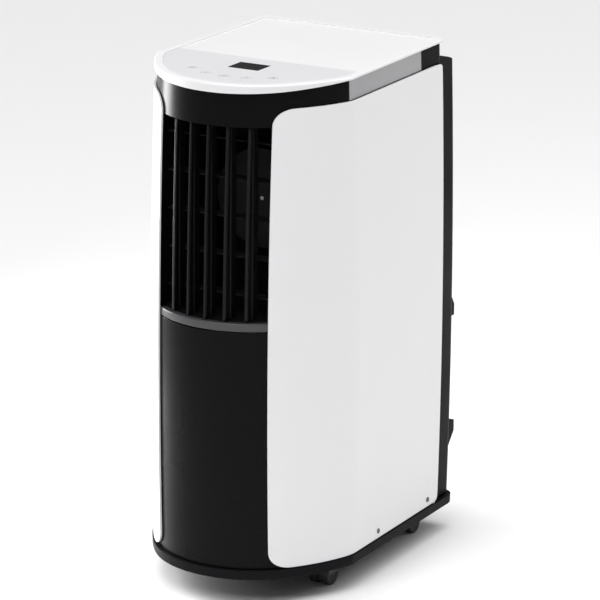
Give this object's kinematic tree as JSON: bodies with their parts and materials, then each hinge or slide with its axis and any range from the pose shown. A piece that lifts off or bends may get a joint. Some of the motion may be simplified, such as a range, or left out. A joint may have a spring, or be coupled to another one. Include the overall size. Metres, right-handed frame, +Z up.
{
  "type": "portable air conditioner",
  "caption": "Tall portable air conditioner on casters: white side panels, black prow-shaped front with upright outlet vanes, top controls, rear intake grilles and a round hose collar.",
  "frame": {"origin": "on the floor under the middle of the overall box", "axes": "+X to the right seen from the front, front towards -Y, +Z up"},
  "size_m": [0.3356, 0.509, 0.77],
  "materials": {
    "white_shell": "satin",
    "overlay": "satin",
    "key_caps": "satin",
    "display": "gloss",
    "black_gloss": "gloss",
    "silver_trim": "satin",
    "sill_grey": "satin",
    "black_matte": "matte",
    "vane_grey": "satin",
    "link_white": "satin",
    "filter_mesh": "woven",
    "plug_rubber": "matte",
    "screw_steel": "satin",
    "caster_black": "satin",
    "wheel_black": "matte",
    "board_green": "satin",
    "inner_foam": "matte",
    "fan_plastic": "matte",
    "motor_steel": "satin",
    "coil_aluminium": "brushed",
    "compressor_paint": "satin",
    "box_steel": "satin",
    "pipe_copper": "satin"
  },
  "bodies": {
    "housing": {"air_duct": "inner_foam", "base_tray": "black_matte", "compressor": "compressor_paint", "condenser_coil": "coil_aluminium", "condenser_fan_motor": "motor_steel", "condenser_scroll": "inner_foam", "control_board": "board_green", "control_box": "box_steel", "control_overlay": "overlay", "cord_hooks": "black_matte", "display_window": "display", "evaporator_coil": "coil_aluminium", "evaporator_fan_motor": "motor_steel", "exhaust_collar": "black_matte", "fan_deck": "inner_foam", "front_panel": "black_gloss", "neck_band": "black_gloss", "outlet_frame": "black_matte", "outlet_sill": "sill_grey", "panel_screws": "screw_steel", "rear_casing": "black_matte", "refrigerant_pipes": "pipe_copper", "side_panel_left": "white_shell", "side_panel_right": "white_shell", "side_trim_left": "silver_trim", "side_trim_right": "silver_trim", "swing_motor": "motor_steel", "top_lid": "white_shell"},
    "vane_1": {"vane_1": "vane_grey"},
    "vane_2": {"vane_2": "vane_grey"},
    "vane_3": {"vane_3": "vane_grey"},
    "vane_4": {"vane_4": "vane_grey"},
    "vane_5": {"vane_5": "vane_grey"},
    "vane_link": {"vane_link": "vane_grey"},
    "guide_blade_1": {"guide_blade_1": "vane_grey"},
    "guide_blade_2": {"guide_blade_2": "vane_grey"},
    "guide_blade_3": {"guide_blade_3": "vane_grey"},
    "guide_blade_4": {"guide_blade_4": "vane_grey"},
    "guide_blade_5": {"guide_blade_5": "vane_grey"},
    "guide_link": {"guide_link": "link_white"},
    "key_mode": {"key_mode": "key_caps"},
    "key_down": {"key_down": "key_caps"},
    "key_power": {"key_power": "key_caps"},
    "key_up": {"key_up": "key_caps"},
    "key_fan": {"key_fan": "key_caps"},
    "upper_grille": {"upper_grille": "black_matte", "upper_filter": "filter_mesh"},
    "lower_grille": {"lower_grille": "black_matte"},
    "drain_plug_upper": {"drain_plug_upper": "plug_rubber"},
    "drain_plug_lower": {"drain_plug_lower": "plug_rubber"},
    "evaporator_fan": {"evaporator_fan": "fan_plastic"},
    "condenser_fan": {"condenser_fan": "fan_plastic"},
    "caster_fork_1": {"caster_fork_1": "caster_black"},
    "caster_wheels_1": {"caster_wheels_1": "wheel_black"},
    "caster_fork_2": {"caster_fork_2": "caster_black"},
    "caster_wheels_2": {"caster_wheels_2": "wheel_black"},
    "caster_fork_3": {"caster_fork_3": "caster_black"},
    "caster_wheels_3": {"caster_wheels_3": "wheel_black"},
    "caster_fork_4": {"caster_fork_4": "caster_black"},
    "caster_wheels_4": {"caster_wheels_4": "wheel_black"}
  },
  "joints": [
    {"name": "vane_1_turn", "type": "hinge", "parent": "housing", "child": "vane_1", "pos_m": [-0.06, -0.21793, 0.425], "axis": [0, 0, 1], "range_deg": [-35, 35]},
    {"name": "vane_2_turn", "type": "hinge", "parent": "housing", "child": "vane_2", "pos_m": [-0.03, -0.22779, 0.425], "axis": [0, 0, 1], "range_deg": [-35, 35]},
    {"name": "vane_3_turn", "type": "hinge", "parent": "housing", "child": "vane_3", "pos_m": [0, -0.23093, 0.425], "axis": [0, 0, 1], "range_deg": [-35, 35]},
    {"name": "vane_4_turn", "type": "hinge", "parent": "housing", "child": "vane_4", "pos_m": [0.03, -0.22779, 0.425], "axis": [0, 0, 1], "range_deg": [-35, 35]},
    {"name": "vane_5_turn", "type": "hinge", "parent": "housing", "child": "vane_5", "pos_m": [0.06, -0.21793, 0.425], "axis": [0, 0, 1], "range_deg": [-35, 35]},
    {"name": "vane_link_pivot", "type": "hinge", "parent": "vane_1", "child": "vane_link", "pos_m": [-0.06, -0.20593, 0.711], "axis": [0, 0, 1], "range_deg": [-35, 35]},
    {"name": "guide_blade_1_tilt", "type": "hinge", "parent": "housing", "child": "guide_blade_1", "pos_m": [0, -0.18893, 0.4534], "axis": [1, 0, 0], "range_deg": [-30, 30]},
    {"name": "guide_blade_2_tilt", "type": "hinge", "parent": "housing", "child": "guide_blade_2", "pos_m": [0, -0.18893, 0.5102], "axis": [1, 0, 0], "range_deg": [-30, 30]},
    {"name": "guide_blade_3_tilt", "type": "hinge", "parent": "housing", "child": "guide_blade_3", "pos_m": [0, -0.18893, 0.567], "axis": [1, 0, 0], "range_deg": [-30, 30]},
    {"name": "guide_blade_4_tilt", "type": "hinge", "parent": "housing", "child": "guide_blade_4", "pos_m": [0, -0.18893, 0.6238], "axis": [1, 0, 0], "range_deg": [-30, 30]},
    {"name": "guide_blade_5_tilt", "type": "hinge", "parent": "housing", "child": "guide_blade_5", "pos_m": [0, -0.18893, 0.6806], "axis": [1, 0, 0], "range_deg": [-30, 30]},
    {"name": "guide_link_pivot", "type": "hinge", "parent": "guide_blade_1", "child": "guide_link", "pos_m": [0.0828, -0.18093, 0.4534], "axis": [1, 0, 0], "range_deg": [-30, 30]},
    {"name": "key_mode_press", "type": "slide", "parent": "housing", "child": "key_mode", "axis": [0, 0, -1], "range_m": [0, 0.0006], "stiffness_N_per_m": 400, "springref_m": -0.0006},
    {"name": "key_down_press", "type": "slide", "parent": "housing", "child": "key_down", "axis": [0, 0, -1], "range_m": [0, 0.0006], "stiffness_N_per_m": 400, "springref_m": -0.0006},
    {"name": "key_power_press", "type": "slide", "parent": "housing", "child": "key_power", "axis": [0, 0, -1], "range_m": [0, 0.0006], "stiffness_N_per_m": 400, "springref_m": -0.0006},
    {"name": "key_up_press", "type": "slide", "parent": "housing", "child": "key_up", "axis": [0, 0, -1], "range_m": [0, 0.0006], "stiffness_N_per_m": 400, "springref_m": -0.0006},
    {"name": "key_fan_press", "type": "slide", "parent": "housing", "child": "key_fan", "axis": [0, 0, -1], "range_m": [0, 0.0006], "stiffness_N_per_m": 400, "springref_m": -0.0006},
    {"name": "upper_grille_pull", "type": "slide", "parent": "housing", "child": "upper_grille", "axis": [0, 1, 0], "range_m": [0, 0.06]},
    {"name": "lower_grille_pull", "type": "slide", "parent": "housing", "child": "lower_grille", "axis": [0, 1, 0], "range_m": [0, 0.06]},
    {"name": "drain_plug_upper_pull", "type": "slide", "parent": "housing", "child": "drain_plug_upper", "axis": [0, 1, 0], "range_m": [0, 0.03]},
    {"name": "drain_plug_lower_pull", "type": "slide", "parent": "housing", "child": "drain_plug_lower", "axis": [0, 1, 0], "range_m": [0, 0.03]},
    {"name": "evaporator_fan_spin", "type": "hinge", "parent": "housing", "child": "evaporator_fan", "pos_m": [0, -0.08527, 0.567], "axis": [0, 1, 0], "continuous": true},
    {"name": "condenser_fan_spin", "type": "hinge", "parent": "housing", "child": "condenser_fan", "pos_m": [0.04, 0.05652, 0.152], "axis": [0, 1, 0], "continuous": true},
    {"name": "caster_1_swivel", "type": "hinge", "parent": "housing", "child": "caster_fork_1", "pos_m": [-0.113, -0.10548, 0.04], "axis": [0, 0, 1], "continuous": true},
    {"name": "caster_1_roll", "type": "hinge", "parent": "caster_fork_1", "child": "caster_wheels_1", "pos_m": [-0.113, -0.09548, 0.017], "axis": [1, 0, 0], "continuous": true},
    {"name": "caster_2_swivel", "type": "hinge", "parent": "housing", "child": "caster_fork_2", "pos_m": [0.113, -0.10548, 0.04], "axis": [0, 0, 1], "continuous": true},
    {"name": "caster_2_roll", "type": "hinge", "parent": "caster_fork_2", "child": "caster_wheels_2", "pos_m": [0.113, -0.09548, 0.017], "axis": [1, 0, 0], "continuous": true},
    {"name": "caster_3_swivel", "type": "hinge", "parent": "housing", "child": "caster_fork_3", "pos_m": [-0.112, 0.15552, 0.04], "axis": [0, 0, 1], "continuous": true},
    {"name": "caster_3_roll", "type": "hinge", "parent": "caster_fork_3", "child": "caster_wheels_3", "pos_m": [-0.112, 0.16552, 0.017], "axis": [1, 0, 0], "continuous": true},
    {"name": "caster_4_swivel", "type": "hinge", "parent": "housing", "child": "caster_fork_4", "pos_m": [0.112, 0.15552, 0.04], "axis": [0, 0, 1], "continuous": true},
    {"name": "caster_4_roll", "type": "hinge", "parent": "caster_fork_4", "child": "caster_wheels_4", "pos_m": [0.112, 0.16552, 0.017], "axis": [1, 0, 0], "continuous": true}
  ],
  "couplings": [
    {"joint": "vane_2_turn", "follows": "vane_1_turn", "ratio": 1},
    {"joint": "vane_3_turn", "follows": "vane_1_turn", "ratio": 1},
    {"joint": "vane_4_turn", "follows": "vane_1_turn", "ratio": 1},
    {"joint": "vane_5_turn", "follows": "vane_1_turn", "ratio": 1},
    {"joint": "vane_link_pivot", "follows": "vane_1_turn", "ratio": -1},
    {"joint": "guide_blade_2_tilt", "follows": "guide_blade_1_tilt", "ratio": 1},
    {"joint": "guide_blade_3_tilt", "follows": "guide_blade_1_tilt", "ratio": 1},
    {"joint": "guide_blade_4_tilt", "follows": "guide_blade_1_tilt", "ratio": 1},
    {"joint": "guide_blade_5_tilt", "follows": "guide_blade_1_tilt", "ratio": 1},
    {"joint": "guide_link_pivot", "follows": "guide_blade_1_tilt", "ratio": -1}
  ]
}
